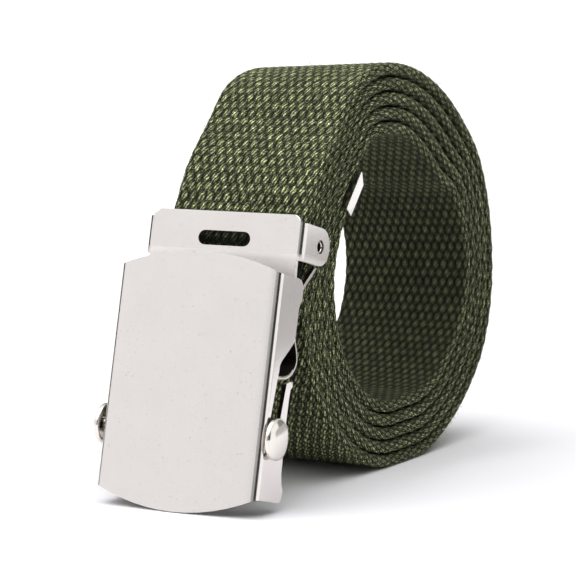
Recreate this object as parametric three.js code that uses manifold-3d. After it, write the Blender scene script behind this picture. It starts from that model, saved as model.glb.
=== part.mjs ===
// Canvas web belt, rolled up and stood on its edge, with a pressed steel clamp buckle.
// Millimetres, +Z up. X runs across the web, the buckle's face looks toward -Y.
import * as THREE from 'three';
import { mergeVertices } from 'three/addons/utils/BufferGeometryUtils.js';
import Module from 'manifold-3d';

const wasm = await Module();
wasm.setup();

// Driving sizes.
const WEB_WIDTH = 32;            // standard 1 1/4 in belt web
const WEB_THICK_MAX = 2.7;       // cloth where the roll is loose
const WEB_THICK_MIN = 2.2;       // cloth where the layers press on each other
const WEB_EDGE_ROUND = 1.1;      // how far the woven edge rounds in
const GAP = 0.3;                 // air between neighbouring pieces and layers
const SHEET = 0.8;               // pressed steel sheet
const BEND = 1.3;                // outside radius of the sheet's bends

const ROLL_RADIUS = 45.6;        // the roll's nominal outside radius
const LAYER_PITCH = 3.04;        // nominal step from one layer to the next
const ROLL_TURNS = 5;            // whole turns between the buckle and the tip
const ROLL_TAPER = 0.0269;       // how much lower the far end is, as a share
const ROLL_SPREAD = 0.025;       // and how much deeper
const SPREAD_FROM = 0.88;        // from this share of the radius before the roll's middle
const ROLL_STEPS = 48;           // path points in one turn
const START_ANGLE = 165;         // where the web leaves the buckle, degrees above the back
const MOUTH_ANGLE = 162;         // the buckle's mouth
const JOIN_ANGLE = 150;          // where the roll's own table takes over
const JOIN_NEXT = 15;            // and the next point that the join follows
const JOIN_STEPS = 4;            // path points between two points of the join
const TAPER_ANGLE = 75;          // the taper is full this far along

const COVER_HEIGHT = 52;
const COVER_ARC_TOP = 3.6;
const COVER_ARC_BOTTOM = 4;
const WALL_DEPTH = 9.7;
const WALL_STOCK = 1.2;          // depth of the bent sheet before its walls are cut, in wall depths
const BUCKLE_LEAN = 13.66;       // degrees, bottom edge forward

const WALL_CLEARANCE = 1.6;      // between the web's edge and a side wall
const FLAP_FORWARD = 1.7;        // the flap's face before the walls' rear edge
const FLAP_RISE = 9.15;          // the flap's top above the cover's top
const FLAP_CORNER = 1.55;
const EAR_IN = 0.3;              // an ear's face inside the wall's face
const EAR_LENGTH = 11.3;
const EAR_HEIGHT = 7.6;
const EAR_RISE = 3.85;           // the ears' middle above the cover's top
const EAR_ROUND = 3.7;
const FLAP_STEP_IN = 1.15;       // the flap beyond its ears is this much narrower
const WINDOW_LENGTH = 12;
const WINDOW_WIDTH = 3;
const WINDOW_DROP = 5.45;        // from the flap's top edge
const LIP_RADIUS = 4.3;          // the flap curves back to its biting lip, below the ears
const LIP_ANGLE = 52;
const LIP_END = 0.6;             // straight length at the lip

const PIN_HOLE = 1.4;            // radius of the hole in an ear
const PIN_RADIUS = 1.1;
const PIN_BORE = 0.8;
const PIN_DEPTH = 7.35;          // behind the flap's face
const PIN_RECESS = 0.3;

const BAR_RADIUS = 1.7;
const BAR_RISE = 16.2;           // along the cover
const BAR_DEPTH = 3.5;           // behind the cover's face
const HEAD_RADIUS = 4.2;
const HEAD_RIM = 0.6;
const HEAD_CHAMFER = 0.3;
const HEAD_DOME = 1.2;
const HEAD_STANDOFF = 0.65;      // between the wall and the head
const SLOT_SLANT = 8.3;          // degrees to the cover
const SLOT_CLEARANCE = 0.3;
const SLOT_TOP = 29.2;
const SEAT_RADIUS = 2.75;        // the slot's round foot
const SEAT_RISE = 15.6;
const SEAT_DEPTH = 3.7;

const WEB_TUCK = 5.4;            // the web's fixed end below the cover's top, on its middle line
const WEB_END_BEHIND = 4.2;      // and behind the flap's face
const WEB_MID_RISE = 4;          // the web behind the ears, above the cover's top
const WEB_MID_BEHIND = 4.95;
const WEB_MOUTH_RISE = 9.9;      // the web where it leaves the flap
const WEB_MOUTH_BEHIND = 6.3;
const WEB_STOP = 0.4;            // between the web's end and the back plate

const TIP_LENGTH = 9.8;
const TIP_SHEET = 0.4;
const TIP_THICK = 2.6;
const TIP_CORNER = 1.6;          // the cap's end slants back this far
const TIP_ROOM = 0.5;            // between the cap and the layer outside it
const TIP_ANGLE = 155.5;         // the cap's mouth
const TIP_LEAD = 75;             // degrees over which the last layer makes room for the cap
const TONGUE_THICK = 1.2;

const EDGE_SIDE = 0.35;          // the woven edge's section, shares of its round and of half the web
const EDGE_FACE = 0.8;
const COVER_STEPS = 12;          // pieces in the cover's bowed edges
const BEND_STEPS = 5;
const CORNER_STEPS = 6;
const LIP_STEPS = 6;
const WINDOW_STEPS = 8;
const HOLE_SIDES = 24;
const PIN_SIDES = 18;
const BORE_SIDES = 12;
const HEAD_SIDES = 32;
const DOME_STEPS = 6;
const PLATE_STEPS = 26;
const PLATE_BENDS = 11;          // rows of PLATE_LINE that are one smooth run
const PAST = 1;                  // how far a cut runs past a surface

// The roll's outline: one entry each 15 degrees, starting at START_ANGLE and going
// over the top, as shares of ROLL_RADIUS.
const OUTLINE = [
  1.039, 0.996, 0.968, 1.005, 0.987, 0.948, 0.924, 0.919, 0.933, 0.971, 0.993, 1.020,
  1.056, 1.072, 1.047, 1.023, 1.016, 0.997, 1.018, 1.039, 1.053, 1.076, 1.084, 1.084,
];
// The step between layers at the same places, as shares of LAYER_PITCH.
const STEPS = [
  0.887, 0.840, 0.833, 0.950, 1.050, 1.067, 1.133, 1.200, 1.233, 1.117, 1.033, 1.000,
  1.050, 1.083, 1.050, 0.983, 1.000, 0.983, 0.967, 0.950, 0.933, 0.933, 0.933, 0.927,
];
// A side wall's outline: shares of COVER_HEIGHT up the cover and of WALL_DEPTH behind it.
const WALL = [
  [0.077, 0.000], [0.077, 0.959], [0.094, 1.062], [0.127, 1.072], [0.146, 1.000],
  [0.187, 0.938], [0.240, 0.928], [0.385, 0.897], [0.475, 0.907], [0.508, 0.928],
  [0.521, 1.000], [0.540, 1.000], [0.537, 0.866], [0.527, 0.742], [0.550, 0.351],
  [0.590, 0.361], [0.608, 0.423], [0.621, 0.495], [0.646, 0.639], [0.673, 0.784],
  [0.690, 0.856], [0.715, 0.887], [0.815, 0.897], [0.835, 0.928], [0.850, 0.990],
  [0.888, 1.000], [0.912, 0.959], [0.927, 0.866], [0.931, 0.742], [0.931, 0.000],
];
// The back plate's middle line in the same shares.
const PLATE_LINE = [
  [0.551, 0.420], [0.546, 0.620], [0.551, 0.860], [0.566, 1.060], [0.590, 1.200],
  [0.615, 1.265], [0.640, 1.255], [0.670, 1.180], [0.705, 1.080], [0.750, 1.040],
  [0.865, 1.040], [0.890, 1.130], [0.950, 1.430], [1.012, 1.750],
];

const flapSetback = WALL_DEPTH - FLAP_FORWARD;
const flapTop = COVER_HEIGHT + FLAP_RISE;
const earLow = COVER_HEIGHT + EAR_RISE - EAR_HEIGHT / 2;
const earHigh = earLow + EAR_HEIGHT;
const tongueLength = TIP_LENGTH - TIP_CORNER - TIP_SHEET - GAP;
const webEnd = COVER_HEIGHT - WEB_TUCK;
const shellInside = WEB_WIDTH / 2 + WALL_CLEARANCE;
const shellHalf = shellInside + SHEET;
const flapHalf = shellHalf - EAR_IN;
const plateHalf = shellInside - GAP;
const lean = BUCKLE_LEAN * Math.PI / 180;
const degrees = Math.PI / 180;

// Smooth value of a closed table at an angle, by a cubic through the four nearest entries.
function fromTable(table, angle) {
  const count = table.length;
  const place = (((START_ANGLE - angle) / 360 * count) % count + count) % count;
  const i = Math.floor(place);
  const t = place - i;
  const [a, b, c, d] = [i - 1, i, i + 1, i + 2].map((k) => table[(k + count) % count]);
  return b + 0.5 * t * (c - a + t * (2 * a - 5 * b + 4 * c - d + t * (3 * (b - c) + d - a)));
}

const smooth = (t) => {
  const u = Math.min(1, Math.max(0, t));
  return u * u * (3 - 2 * u);
};
const pitchAt = (angle) => LAYER_PITCH * fromTable(STEPS, angle);
const turnsAt = (angle) => (START_ANGLE - angle) / 360;
const outsideAt = (angle) => ROLL_RADIUS * fromTable(OUTLINE, angle) - pitchAt(angle) * turnsAt(angle);
const thickAt = (angle) => Math.min(WEB_THICK_MAX, Math.max(WEB_THICK_MIN, pitchAt(angle) - GAP));

// The roll's centre height puts its lowest outside point on the floor.
let rollCentreHeight = 0;
for (let a = 0; a > -180; a -= 0.5) {
  rollCentreHeight = Math.max(rollCentreHeight, -outsideAt(a) * Math.sin(a * degrees));
}
const rollPoint = (angle, radius) => new THREE.Vector2(
  radius * Math.cos(angle * degrees),
  rollCentreHeight + radius * Math.sin(angle * degrees),
);

// Buckle frame: u along the cover, d behind its face. The web's mouth lies on the roll's start.
const mouth = rollPoint(MOUTH_ANGLE, outsideAt(MOUTH_ANGLE) - thickAt(START_ANGLE) / 2);
const mouthRise = COVER_HEIGHT + WEB_MOUTH_RISE;
const mouthDepth = flapSetback + WEB_MOUTH_BEHIND;
const buckleY = mouth.x - mouthRise * Math.sin(lean) - mouthDepth * Math.cos(lean);
const buckleZ = SHEET * Math.sin(lean);
const fromBuckle = (rise, depth) => new THREE.Vector2(
  buckleY + rise * Math.sin(lean) + depth * Math.cos(lean),
  buckleZ + rise * Math.cos(lean) - depth * Math.sin(lean),
);
const buckleMatrix = new THREE.Matrix4().makeBasis(
  new THREE.Vector3(1, 0, 0),
  new THREE.Vector3(0, Math.sin(lean), Math.cos(lean)),
  new THREE.Vector3(0, -Math.cos(lean), Math.sin(lean)),
).setPosition(0, buckleY, buckleZ);

// Solids. Local axes: x across, y up the cover, z toward the front.
function toSolid(geometry) {
  const bare = geometry.index ? geometry.toNonIndexed() : geometry.clone();
  bare.deleteAttribute('normal');
  bare.deleteAttribute('uv');
  const merged = mergeVertices(bare, 1e-4);
  return new wasm.Manifold(new wasm.Mesh({
    numProp: 3,
    vertProperties: new Float32Array(merged.attributes.position.array),
    triVerts: new Uint32Array(merged.index.array),
  }));
}

function toGeometry(solid) {
  const mesh = solid.getMesh();
  const geometry = new THREE.BufferGeometry();
  geometry.setAttribute('position', new THREE.BufferAttribute(new Float32Array(mesh.vertProperties), 3));
  geometry.setIndex(new THREE.BufferAttribute(new Uint32Array(mesh.triVerts), 1));
  geometry.computeVertexNormals();
  return geometry;
}

function extrude(points, depth) {
  const shape = new THREE.Shape(points.map((p) => new THREE.Vector2(p[0], p[1])));
  return new THREE.ExtrudeGeometry(shape, { depth, bevelEnabled: false, steps: 1 });
}

// Outline in x and y, from z0 to z1.
function alongZ(points, z0, z1) {
  return toSolid(extrude(points, z1 - z0).translate(0, 0, z0));
}

// Outline in rise and depth behind the face, from x0 to x1.
const sideways = new THREE.Matrix4().makeBasis(
  new THREE.Vector3(0, 1, 0),
  new THREE.Vector3(0, 0, 1),
  new THREE.Vector3(1, 0, 0),
);
function alongX(points, x0, x1) {
  const flat = points.map((p) => [p[0], -p[1]]);
  return toSolid(extrude(flat, x1 - x0).applyMatrix4(sideways).translate(x0, 0, 0));
}

// Outline in x and z, from y0 to y1.
function alongY(points, y0, y1) {
  return toSolid(extrude(points, y1 - y0).rotateX(Math.PI / 2).translate(0, y1, 0));
}

function arc(cx, cy, radius, from, to, count) {
  const points = [];
  for (let i = 0; i <= count; i += 1) {
    const a = (from + (to - from) * i / count) * degrees;
    points.push([cx + radius * Math.cos(a), cy + radius * Math.sin(a)]);
  }
  return points;
}

const circle = (cx, cy, radius, sides) => arc(cx, cy, radius, 0, 360 - 360 / sides, sides - 1);

// A channel's section: flat front at z = 0 with both sides bent back.
function channel(half, depth) {
  const inner = BEND - SHEET;
  return [
    [-half, -depth],
    ...arc(-half + BEND, -BEND, BEND, 180, 90, BEND_STEPS),
    ...arc(half - BEND, -BEND, BEND, 90, 0, BEND_STEPS),
    [half, -depth],
    [half - SHEET, -depth],
    ...arc(half - SHEET - inner, -SHEET - inner, inner, 0, 90, BEND_STEPS),
    ...arc(-half + SHEET + inner, -SHEET - inner, inner, 90, 180, BEND_STEPS),
    [-half + SHEET, -depth],
  ];
}

// A line in rise and depth thickened to a sheet.
function sheetOutline(line, thickness) {
  const left = [];
  const right = [];
  line.forEach((p, i) => {
    const before = line[Math.max(0, i - 1)];
    const after = line[Math.min(line.length - 1, i + 1)];
    const dx = after[0] - before[0];
    const dy = after[1] - before[1];
    const length = Math.hypot(dx, dy);
    const nx = -dy / length * thickness / 2;
    const ny = dx / length * thickness / 2;
    left.push([p[0] + nx, p[1] + ny]);
    right.push([p[0] - nx, p[1] - ny]);
  });
  return [...left, ...right.reverse()];
}

// A smooth run through chosen points.
function refine(line, count) {
  const places = line.map((p) => new THREE.Vector3(p[0], p[1], 0));
  const curve = new THREE.CatmullRomCurve3(places, false, 'centripetal');
  return curve.getPoints(count).map((p) => [p.x, p.y]);
}

// Cover plate with side walls: one bent sheet, with a slot in each wall.
function buckleShell() {
  const topSide = COVER_HEIGHT - COVER_ARC_TOP;
  const lower = [];
  const upper = [];
  for (let i = 0; i <= COVER_STEPS; i += 1) {
    const share = 2 * i / COVER_STEPS - 1;
    lower.push([shellHalf * share, COVER_ARC_BOTTOM * share ** 2]);
    upper.push([-shellHalf * share, topSide + COVER_ARC_TOP * (1 - share ** 2)]);
  }
  const deepest = WALL_STOCK * WALL_DEPTH;
  const sheet = alongY(channel(shellHalf, deepest), 0, COVER_HEIGHT);
  const wall = WALL.map((p) => [p[0] * COVER_HEIGHT, p[1] * WALL_DEPTH]);
  const walls = alongX(wall, -shellHalf - GAP, shellHalf + GAP)
    .subtract(alongY([[BEND - shellHalf, GAP], [shellHalf - BEND, GAP],
      [shellHalf - BEND, -deepest - GAP], [BEND - shellHalf, -deepest - GAP]], -GAP, COVER_HEIGHT + GAP));
  const front = alongZ([...lower, ...upper], -BEND, GAP);
  return sheet.intersect(walls.add(front)).subtract(slotCutter());
}

// The bar's slot: straight and slanted, open at its top, with a round foot.
function slotCutter() {
  const slant = Math.tan(SLOT_SLANT * degrees);
  const half = BAR_RADIUS + SLOT_CLEARANCE;
  const low = [BAR_RISE, BAR_DEPTH];
  const high = [SLOT_TOP, BAR_DEPTH + (SLOT_TOP - BAR_RISE) * slant];
  const reach = shellHalf + PAST;
  const run = alongX([
    [low[0], low[1] - half], [high[0], high[1] - half],
    [high[0], high[1] + half], [low[0], low[1] + half],
  ], -reach, reach);
  const foot = alongX(circle(SEAT_RISE, SEAT_DEPTH, SEAT_RADIUS, HOLE_SIDES), -reach, reach);
  const deepest = WALL_STOCK * WALL_DEPTH;
  const hollow = alongX([
    [0, -PAST], [COVER_HEIGHT, -PAST], [COVER_HEIGHT, deepest], [0, deepest],
  ], BEND - shellHalf, shellHalf - BEND);
  return run.add(foot).subtract(hollow);
}

// Back plate: a bent sheet between the walls that ends in two straps below the ears.
function backPlate() {
  const line = PLATE_LINE.map((p) => [p[0] * COVER_HEIGHT, p[1] * WALL_DEPTH]);
  const bent = refine(line.slice(0, PLATE_BENDS), PLATE_STEPS);
  const straight = line.slice(PLATE_BENDS);
  const plate = alongX(sheetOutline([...bent, ...straight], SHEET), -plateHalf, plateHalf);
  const above = (rise, half) => alongX([
    [rise, 0], [flapTop, 0], [flapTop, 2 * WALL_DEPTH], [rise, 2 * WALL_DEPTH],
  ], -half, half);
  const trim = above(earLow - GAP, plateHalf + PAST);
  const middle = above(webEnd - WEB_STOP, WEB_WIDTH / 2 + GAP);
  return plate.subtract(trim).subtract(middle);
}

// Clamp flap: face with a long window, an ear bent back at each end, and a biting lip.
function clampFlap() {
  const narrow = flapHalf - FLAP_STEP_IN;
  const bow = arc(earLow, SHEET / 2 + LIP_RADIUS, LIP_RADIUS, -90, -90 - LIP_ANGLE, LIP_STEPS);
  const [lipRise, lipDepth] = bow[LIP_STEPS];
  const slope = LIP_ANGLE * degrees;
  const end = [lipRise - LIP_END * Math.cos(slope), lipDepth + LIP_END * Math.sin(slope)];
  const face = alongX(sheetOutline([[flapTop, SHEET / 2], ...bow, end], SHEET), -narrow, narrow);
  const outline = alongZ([
    [-narrow, earLow - 2 * LIP_RADIUS],
    [narrow, earLow - 2 * LIP_RADIUS],
    ...arc(narrow - FLAP_CORNER, flapTop - FLAP_CORNER, FLAP_CORNER, 0, 90, CORNER_STEPS),
    ...arc(-narrow + FLAP_CORNER, flapTop - FLAP_CORNER, FLAP_CORNER, 90, 180, CORNER_STEPS),
  ], -SHEET - LIP_RADIUS, GAP);
  const band = alongY(channel(flapHalf, EAR_LENGTH), earLow, earHigh);
  const ear = alongX([
    [earLow, -GAP],
    ...arc(earLow + EAR_ROUND, EAR_LENGTH - EAR_ROUND, EAR_ROUND, 180, 90, CORNER_STEPS),
    ...arc(earHigh - EAR_ROUND, EAR_LENGTH - EAR_ROUND, EAR_ROUND, 90, 0, CORNER_STEPS),
    [earHigh, -GAP],
  ], -flapHalf - PAST, flapHalf + PAST);
  const half = WINDOW_WIDTH / 2;
  const reach = WINDOW_LENGTH / 2 - half;
  const level = flapTop - WINDOW_DROP;
  const window = alongZ([
    ...arc(reach, level, half, -90, 90, WINDOW_STEPS),
    ...arc(-reach, level, half, 90, 270, WINDOW_STEPS),
  ], -SHEET - PAST, PAST);
  const pinHole = circle(COVER_HEIGHT + EAR_RISE, PIN_DEPTH, PIN_HOLE, HOLE_SIDES);
  const holes = alongX(pinHole, -flapHalf - PAST, flapHalf + PAST);
  const flap = face.intersect(outline).add(band.intersect(ear)).subtract(window).subtract(holes);
  return flap.translate([0, 0, -flapSetback]);
}

// A short hollow pin in an ear's hole, on the side of the given sign.
function hingePin(side) {
  const rise = COVER_HEIGHT + EAR_RISE;
  const depth = flapSetback + PIN_DEPTH;
  const inner = WEB_WIDTH / 2 + GAP;
  const outer = flapHalf - PIN_RECESS;
  const [x0, x1] = side > 0 ? [inner, outer] : [-outer, -inner];
  return alongX(circle(rise, depth, PIN_RADIUS, PIN_SIDES), x0, x1)
    .subtract(alongX(circle(rise, depth, PIN_BORE, BORE_SIDES), x0 - PAST, x1 + PAST));
}

// Locking bar: a round bar with a domed head outside each wall.
function lockingBar() {
  const back = shellHalf + HEAD_STANDOFF;
  const rim = back + HEAD_RIM;
  const end = [];
  for (let i = 0; i <= DOME_STEPS; i += 1) {
    const a = 90 * (1 - i / DOME_STEPS) * degrees;
    end.push(new THREE.Vector2(HEAD_RADIUS * Math.sin(a), rim + HEAD_DOME * Math.cos(a)));
  }
  const right = [
    new THREE.Vector2(BAR_RADIUS, back), new THREE.Vector2(HEAD_RADIUS - HEAD_CHAMFER, back),
    new THREE.Vector2(HEAD_RADIUS, back + HEAD_CHAMFER), ...end,
  ];
  right[right.length - 1].x = 0;
  const left = right.map((p) => new THREE.Vector2(p.x, -p.y)).reverse();
  const geometry = new THREE.LatheGeometry([...left, ...right], HEAD_SIDES).rotateZ(-Math.PI / 2);
  return toSolid(geometry).translate([0, BAR_RISE, -BAR_DEPTH]);
}

// Path of the web's middle line as points, each with its thickness and taper weight.
const lastAngle = TIP_ANGLE - 360 * ROLL_TURNS;
const underLayer = (angle) => outsideAt(angle + 360) - thickAt(angle + 360) - TIP_ROOM - TIP_THICK / 2;
const capStartRadius = underLayer(lastAngle);
const tipDrift = outsideAt(lastAngle) - thickAt(lastAngle) / 2 - capStartRadius;
const middleAt = (angle) => {
  const drift = tipDrift * smooth((lastAngle + TIP_LEAD - angle) / TIP_LEAD);
  return outsideAt(angle) - thickAt(angle) / 2 - drift;
};
const capStart = rollPoint(lastAngle, capStartRadius);
const capEndAngle = lastAngle - TIP_LENGTH / capStartRadius / degrees;
const capDirection = rollPoint(capEndAngle, underLayer(capEndAngle)).sub(capStart).normalize();

function webPath() {
  const start = thickAt(START_ANGLE);
  const path = [];
  const add = (point, thickness, weight) => path.push({ point, thickness, weight });
  const joined = [
    fromBuckle(webEnd, flapSetback + WEB_END_BEHIND),
    fromBuckle(COVER_HEIGHT + WEB_MID_RISE, flapSetback + WEB_MID_BEHIND),
    mouth,
    rollPoint(JOIN_ANGLE, middleAt(JOIN_ANGLE)),
    rollPoint(JOIN_ANGLE - JOIN_NEXT, middleAt(JOIN_ANGLE - JOIN_NEXT)),
  ].map((p) => new THREE.Vector3(0, p.x, p.y));
  const fit = new THREE.CatmullRomCurve3(joined, false, 'centripetal');
  const spans = joined.length - 1;
  for (let i = 0; i < (spans - 1) * JOIN_STEPS; i += 1) {
    const p = fit.getPoint(i / JOIN_STEPS / spans);
    add(new THREE.Vector2(p.y, p.z), start, 0);
  }
  const step = 360 / ROLL_STEPS;
  for (let a = JOIN_ANGLE; a > lastAngle + step / 2; a -= step) {
    add(rollPoint(a, middleAt(a)), thickAt(a), smooth((JOIN_ANGLE - a) / TAPER_ANGLE));
  }
  const cap = (along, thickness) => add(
    capStart.clone().addScaledVector(capDirection, along),
    thickness,
    1,
  );
  cap(-GAP, thickAt(lastAngle));
  cap(0, TONGUE_THICK);
  cap(tongueLength, TONGUE_THICK);
  return path;
}

// The web's section at half its width and thickness: rounded woven edges.
function webSection(thickness) {
  const half = WEB_WIDTH / 2;
  const h = thickness / 2;
  const r = WEB_EDGE_ROUND;
  return [
    [half - r, -h], [half - EDGE_SIDE * r, -EDGE_FACE * h], [half, -EDGE_SIDE * h],
    [half, EDGE_SIDE * h], [half - EDGE_SIDE * r, EDGE_FACE * h], [half - r, h],
    [-half + r, h], [-half + EDGE_SIDE * r, EDGE_FACE * h], [-half, EDGE_SIDE * h],
    [-half, -EDGE_SIDE * h], [-half + EDGE_SIDE * r, -EDGE_FACE * h], [-half + r, -h],
  ];
}

// The roll's far end is lower and deeper: heights shrink to the floor, depths grow from the front.
function tapered(x, y, z, weight) {
  const far = weight * (0.5 - x / WEB_WIDTH);
  return [x, y + ROLL_SPREAD * far * (y + SPREAD_FROM * ROLL_RADIUS), z * (1 - ROLL_TAPER * far)];
}

function webStrap() {
  const path = webPath();
  const positions = [];
  const index = [];
  const ring = webSection(1).length;
  path.forEach((node, i) => {
    const before = path[Math.max(0, i - 1)].point;
    const after = path[Math.min(path.length - 1, i + 1)].point;
    const along = after.clone().sub(before).normalize();
    webSection(node.thickness).forEach(([x, n]) => {
      const y = node.point.x - n * along.y;
      const z = node.point.y + n * along.x;
      positions.push(...tapered(x, y, z, node.weight));
    });
    if (i > 0) {
      for (let k = 0; k < ring; k += 1) {
        const a = (i - 1) * ring + k;
        const b = (i - 1) * ring + (k + 1) % ring;
        index.push(a, a + ring, b, b, a + ring, b + ring);
      }
    }
  });
  const last = (path.length - 1) * ring;
  for (let k = 1; k < ring - 1; k += 1) {
    index.push(0, k, k + 1);
    index.push(last, last + k + 1, last + k);
  }
  const geometry = new THREE.BufferGeometry();
  geometry.setAttribute('position', new THREE.Float32BufferAttribute(positions, 3));
  geometry.setIndex(index);
  geometry.computeVertexNormals();
  return geometry;
}

// Tip: a folded metal cap over the roll's inner end, open at its mouth, with a slanted end.
function tipCap() {
  const h = TIP_THICK / 2;
  const inside = h - TIP_SHEET;
  const pocketHalf = WEB_WIDTH / 2 + GAP;
  const half = pocketHalf + TIP_SHEET;
  const body = alongX([
    [0, -h], [TIP_LENGTH, -h], [TIP_LENGTH, -inside], [TIP_LENGTH - TIP_CORNER, h], [0, h],
  ], -half, half);
  const deep = tongueLength + GAP;
  const pocket = alongX([
    [-PAST, -inside], [deep, -inside], [deep, inside], [-PAST, inside],
  ], -pocketHalf, pocketHalf);
  return body.subtract(pocket);
}

const capMatrix = new THREE.Matrix4().makeBasis(
  new THREE.Vector3(1, 0, 0),
  new THREE.Vector3(0, capDirection.x, capDirection.y),
  new THREE.Vector3(0, -capDirection.y, capDirection.x),
).setPosition(0, capStart.x, capStart.y);

// Materials.
const steel = () => new THREE.MeshStandardMaterial({ color: 0xd2cfca, metalness: 1, roughness: 0.32 });
const cloth = () => new THREE.MeshStandardMaterial({ color: 0x4a5533, metalness: 0, roughness: 0.95 });

const group = new THREE.Group();
group.name = 'canvas_web_belt';

function addPiece(name, geometry, material, matrix) {
  if (matrix) geometry.applyMatrix4(matrix);
  const mesh = new THREE.Mesh(geometry, material);
  mesh.name = name;
  group.add(mesh);
  return mesh;
}

const cap = toGeometry(tipCap());
cap.applyMatrix4(capMatrix);
const capPlaces = cap.attributes.position;
for (let i = 0; i < capPlaces.count; i += 1) {
  capPlaces.setXYZ(i, ...tapered(capPlaces.getX(i), capPlaces.getY(i), capPlaces.getZ(i), 1));
}

addPiece('web_strap', webStrap(), cloth());
addPiece('tip_cap', cap, steel());
addPiece('buckle_shell', toGeometry(buckleShell()), steel(), buckleMatrix);
addPiece('back_plate', toGeometry(backPlate()), steel(), buckleMatrix);
addPiece('clamp_flap', toGeometry(clampFlap()), steel(), buckleMatrix);
addPiece('hinge_pin_near', toGeometry(hingePin(1)), steel(), buckleMatrix);
addPiece('hinge_pin_far', toGeometry(hingePin(-1)), steel(), buckleMatrix);
addPiece('locking_bar', toGeometry(lockingBar()), steel(), buckleMatrix);

// Centre the belt over the origin.
const bounds = new THREE.Box3().setFromObject(group);
const middle = bounds.getCenter(new THREE.Vector3());
group.children.forEach((mesh) => mesh.geometry.translate(-middle.x, -middle.y, -bounds.min.z));

export default group;
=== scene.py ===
"""Canvas web belt, rolled up and stood on its edge, with a pressed steel clamp buckle."""
import math
from collections import namedtuple

import bmesh
import bpy
import numpy as np
from bpy.props import FloatProperty, FloatVectorProperty, IntProperty, PointerProperty
from mathutils import Matrix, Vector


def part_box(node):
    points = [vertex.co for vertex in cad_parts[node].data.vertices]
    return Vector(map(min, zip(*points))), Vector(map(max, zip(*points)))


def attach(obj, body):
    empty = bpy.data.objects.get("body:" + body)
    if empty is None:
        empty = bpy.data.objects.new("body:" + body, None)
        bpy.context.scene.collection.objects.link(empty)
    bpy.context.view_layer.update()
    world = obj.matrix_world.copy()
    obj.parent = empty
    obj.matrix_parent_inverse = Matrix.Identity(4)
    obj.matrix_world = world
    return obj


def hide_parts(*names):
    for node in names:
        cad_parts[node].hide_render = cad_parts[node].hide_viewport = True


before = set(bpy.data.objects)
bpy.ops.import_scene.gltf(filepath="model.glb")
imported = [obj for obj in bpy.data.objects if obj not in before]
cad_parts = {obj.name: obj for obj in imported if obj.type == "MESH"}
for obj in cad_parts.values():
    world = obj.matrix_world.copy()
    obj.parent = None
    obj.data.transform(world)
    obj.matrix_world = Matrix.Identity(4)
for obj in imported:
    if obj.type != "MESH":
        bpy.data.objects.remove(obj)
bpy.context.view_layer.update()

bl_info = {
    "name": "Canvas web belt",
    "version": (1, 0, 0),
    "blender": (4, 5, 0),
    "location": "View3D > Sidebar > Web belt",
    "description": "Dresses the rolled web belt and its clamp buckle",
    "category": "Object",
}

MM = 0.001

# The roll, in the same shares and sizes as the solids. Angles are in degrees, from the back.
ROLL_RADIUS = 45.6 * MM
LAYER_PITCH = 3.04 * MM
LAYER_GAP = 0.3 * MM
ROLL_TURNS = 5
ROLL_TAPER = 0.0269
ROLL_SPREAD = 0.025
SPREAD_FROM = 0.88
WEB_WIDTH = 32 * MM
WEB_THICK_MAX = 2.7 * MM
WEB_THICK_MIN = 2.2 * MM
WEB_EDGE_ROUND = 1.1 * MM
EDGES_GIRTH = 7.8 * MM
CLAMP_ANGLE = 180
START_ANGLE = 165
JOIN_ANGLE = 150
JOIN_NEXT = 15
TAPER_ANGLE = 75
TIP_ANGLE = 155.5
TIP_LEAD = 75
TIP_LENGTH = 9.8 * MM
TIP_THICK = 2.6 * MM
TIP_ROOM = 0.5 * MM
TONGUE_THICK = 1.2 * MM
TONGUE_LENGTH = 7.5 * MM
TONGUE_SHARES = np.array([0, 0.3, 0.6, 1])
# Shares of the outline's radius and of the layers' pitch, at even angles down from the start.
OUTLINE = np.array([
    1.039, 0.996, 0.968, 1.005, 0.987, 0.948, 0.924, 0.919, 0.933, 0.971, 0.993, 1.020,
    1.056, 1.072, 1.047, 1.023, 1.016, 0.997, 1.018, 1.039, 1.053, 1.076, 1.084, 1.084,
])
STEPS = np.array([
    0.887, 0.840, 0.833, 0.950, 1.050, 1.067, 1.133, 1.200, 1.233, 1.117, 1.033, 1.000,
    1.050, 1.083, 1.050, 0.983, 1.000, 0.983, 0.967, 0.950, 0.933, 0.933, 0.933, 0.927,
])
# How finely the path is worked out, and the angles at which its fine runs end.
PROBE_STEP = 0.5
ROLL_STEP = 0.25
JOIN_STEPS = 40
SLOPE_REACH = 0.5 * MM
OUTER_RUN = 380
INNER_RUN = 385

# The buckle: rise is along the cover from its bottom point, depth is behind its face.
BUCKLE_LEAN = math.radians(13.66)
LEAN_SIN, LEAN_COS = math.sin(BUCKLE_LEAN), math.cos(BUCKLE_LEAN)
SHEET = 0.8 * MM
WEB_END = (46.6 * MM, 12.2 * MM)
WEB_MIDDLE = (56.0 * MM, 12.95 * MM)
WEB_MOUTH = (61.9 * MM, 14.3 * MM)
BAR_PLACE = (16.2 * MM, 3.5 * MM)
PIN_PLACE = (55.85 * MM, 15.35 * MM)
PIN_HOLE = 1.4 * MM
CHAMBER_MIDDLE = 10 * MM
LIP_START = (52.05 * MM, 8.4 * MM)
LIP_RADIUS = 4.3 * MM
LIP_EASE = 0.12
LIP_SIDE = 1 * MM
LIP_MATT_FROM = 1.6 * MM
LIP_MATT_FULL = 0.2 * MM
CREASE = math.radians(30)
FORWARD_FROM = 0.3
INWARD_FROM = 0.35
HEAD_DEPTH = 1.8 * MM


# Lengths of the roll

def from_table(table, angle):
    """Value of a closed table at angles in degrees: a cubic through the four nearest entries."""
    place = np.mod((START_ANGLE - angle) / 360 * len(table), len(table))
    first = np.floor(place).astype(int)
    t = place - first
    a, b, c, d = (table[(first + k) % len(table)] for k in (-1, 0, 1, 2))
    return b + 0.5 * t * (c - a + t * (2 * a - 5 * b + 4 * c - d + t * (3 * (b - c) + d - a)))


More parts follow.
